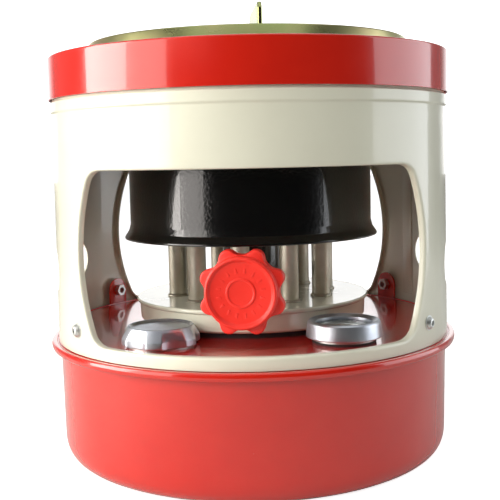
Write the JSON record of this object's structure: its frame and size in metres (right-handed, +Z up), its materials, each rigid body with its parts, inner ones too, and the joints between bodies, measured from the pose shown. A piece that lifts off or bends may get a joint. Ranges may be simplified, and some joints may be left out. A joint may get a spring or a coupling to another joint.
{
  "type": "kerosene wick stove",
  "caption": "Round kerosene wick stove: red fuel tank, cream casing with two windows, black burner drum on wick tubes, lobed wick knob, filler cap, float gauge and finned pan support.",
  "frame": {"origin": "centre of the base, on the surface that the stove stands on", "axes": "+Z up, -Y to the front with the knob, +X to the right seen from the front"},
  "size_m": [0.2488, 0.2488, 0.26],
  "materials": {
    "red_enamel": "gloss baked enamel",
    "cream_enamel": "gloss baked enamel",
    "black_enamel": "gloss heat-proof enamel with a pebbled skin",
    "yellow_zinc": "yellow passivated zinc on steel",
    "bright_plate": "bright plated steel",
    "zinc_plate": "clear zinc plate",
    "tube_steel": "dull plated steel tube",
    "flame_steel": "bare steel sheet",
    "dark_steel": "oiled dark steel",
    "brass": "turned brass",
    "knob_plastic": "moulded phenolic plastic",
    "seal_rubber": "fuel-proof rubber",
    "gauge_glass": "clear window",
    "dial_face": "printed dial",
    "pointer_red": "painted pointer",
    "wick_cotton": "plaited cotton",
    "float_cork": "varnished cork"
  },
  "bodies": {
    "stove": {"tank_shell": "red_enamel", "tank_top": "red_enamel", "casing_tabs": "red_enamel", "filler_neck": "zinc_plate", "gauge_gasket": "seal_rubber", "gauge_body": "zinc_plate", "gauge_dial": "dial_face", "gauge_glass": "gauge_glass", "gauge_bezel": "bright_plate", "gauge_tube": "zinc_plate", "gauge_end_stop": "brass", "casing": "cream_enamel", "casing_screws": "zinc_plate", "casing_nuts": "zinc_plate", "top_ring": "red_enamel", "seal_ring": "seal_rubber", "base_pan": "cream_enamel", "base_screws": "zinc_plate", "wick_tubes": "tube_steel", "tube_collars": "tube_steel", "burner_seat": "tube_steel", "gear_housing": "black_enamel", "housing_cap": "black_enamel", "shaft_bush": "brass"},
    "wick_carriage": {"wick_carrier": "zinc_plate", "wicks": "wick_cotton", "wick_clamps": "brass", "rack": "brass", "rack_nut": "zinc_plate"},
    "knob": {"knob": "knob_plastic", "knob_insert": "brass", "knob_shaft": "zinc_plate", "pinion": "brass", "retaining_ring": "dark_steel", "grub_screw": "dark_steel"},
    "burner": {"burner_drum": "black_enamel", "outer_sleeve": "flame_steel", "inner_sleeve": "flame_steel", "burner_tray": "flame_steel", "inner_cap": "flame_steel", "cross_pins": "dark_steel"},
    "pan_support": {"top_plate": "yellow_zinc", "pan_fins": "yellow_zinc", "fin_rivets": "yellow_zinc"},
    "cap_seal": {"cap_gasket": "seal_rubber"},
    "cap": {"filler_cap": "bright_plate"},
    "float": {"gauge_float": "float_cork"},
    "needle": {"gauge_spindle": "brass", "gauge_pointer": "pointer_red"}
  },
  "joints": [
    {"name": "wick_lift", "type": "slide", "parent": "stove", "child": "wick_carriage", "axis": [0, 0, 1], "range_m": [0, 0.02]},
    {"name": "knob_turn", "type": "hinge", "parent": "stove", "child": "knob", "pos_m": [-0.00539, -0.10533, 0.1112], "axis": [-0.1444, -0.9895, 0], "range_deg": [-191, 0]},
    {"name": "burner_lift", "type": "slide", "parent": "stove", "child": "burner", "axis": [0, 0, 1], "range_m": [0, 0.015]},
    {"name": "pan_support_lift", "type": "slide", "parent": "stove", "child": "pan_support", "axis": [0, 0, 1], "range_m": [0, 0.04]},
    {"name": "cap_lift", "type": "slide", "parent": "stove", "child": "cap_seal", "axis": [0, 0, 1], "range_m": [0, 0.00901]},
    {"name": "cap_turn", "type": "hinge", "parent": "cap_seal", "child": "cap", "pos_m": [-0.0505, -0.0773, 0.09], "axis": [0, 0, 1], "range_deg": [0, 1080]},
    {"name": "float_rise", "type": "slide", "parent": "stove", "child": "float", "axis": [0, 0, 1], "range_m": [0, 0.04]},
    {"name": "needle_turn", "type": "hinge", "parent": "stove", "child": "needle", "pos_m": [0.0495, -0.078, 0.085], "axis": [0, 0, 1], "range_deg": [0, 180]}
  ],
  "couplings": [
    {"joint": "knob_turn", "follows": "wick_lift", "rad_per_m": -166.67},
    {"joint": "cap_lift", "follows": "cap_turn", "m_per_rad": 0.00047746},
    {"joint": "needle_turn", "follows": "float_rise", "rad_per_m": 77.25}
  ]
}
